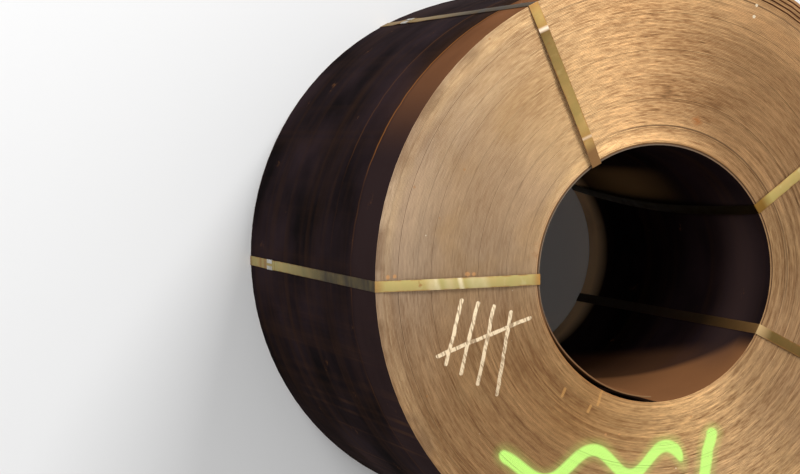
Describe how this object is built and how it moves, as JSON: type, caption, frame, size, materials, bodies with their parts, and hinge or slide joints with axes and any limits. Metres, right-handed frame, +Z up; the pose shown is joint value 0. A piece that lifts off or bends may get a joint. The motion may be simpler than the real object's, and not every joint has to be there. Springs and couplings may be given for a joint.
{
  "type": "steel coil",
  "caption": "Coil of hot rolled steel strip stored on its end, with an upright bore, a loose inner end, sprung outer turns, and flat steel bands sealed through the bore.",
  "frame": {"origin": "on the coil's axis at floor level, under the middle of the coil", "axes": "+Z up along the coil's axis, out of the end that the picture shows; seen from above that end, +X is the picture's right and +Y its up"},
  "size_m": [1.7775, 1.7967, 1.3141],
  "materials": {
    "strip": "mill scale, lightly rusted",
    "band": "waxed, dull yellow green",
    "seal": "plain zinc"
  },
  "bodies": {
    "root": {"coil": "strip", "strap_upper_left": "band", "strap_left": "band", "strap_upper_right": "band", "strap_lower_right": "band", "seal_upper_left": "seal", "seal_left": "seal", "seal_upper_right": "seal", "seal_lower_right": "seal"}
  },
  "joints": []
}
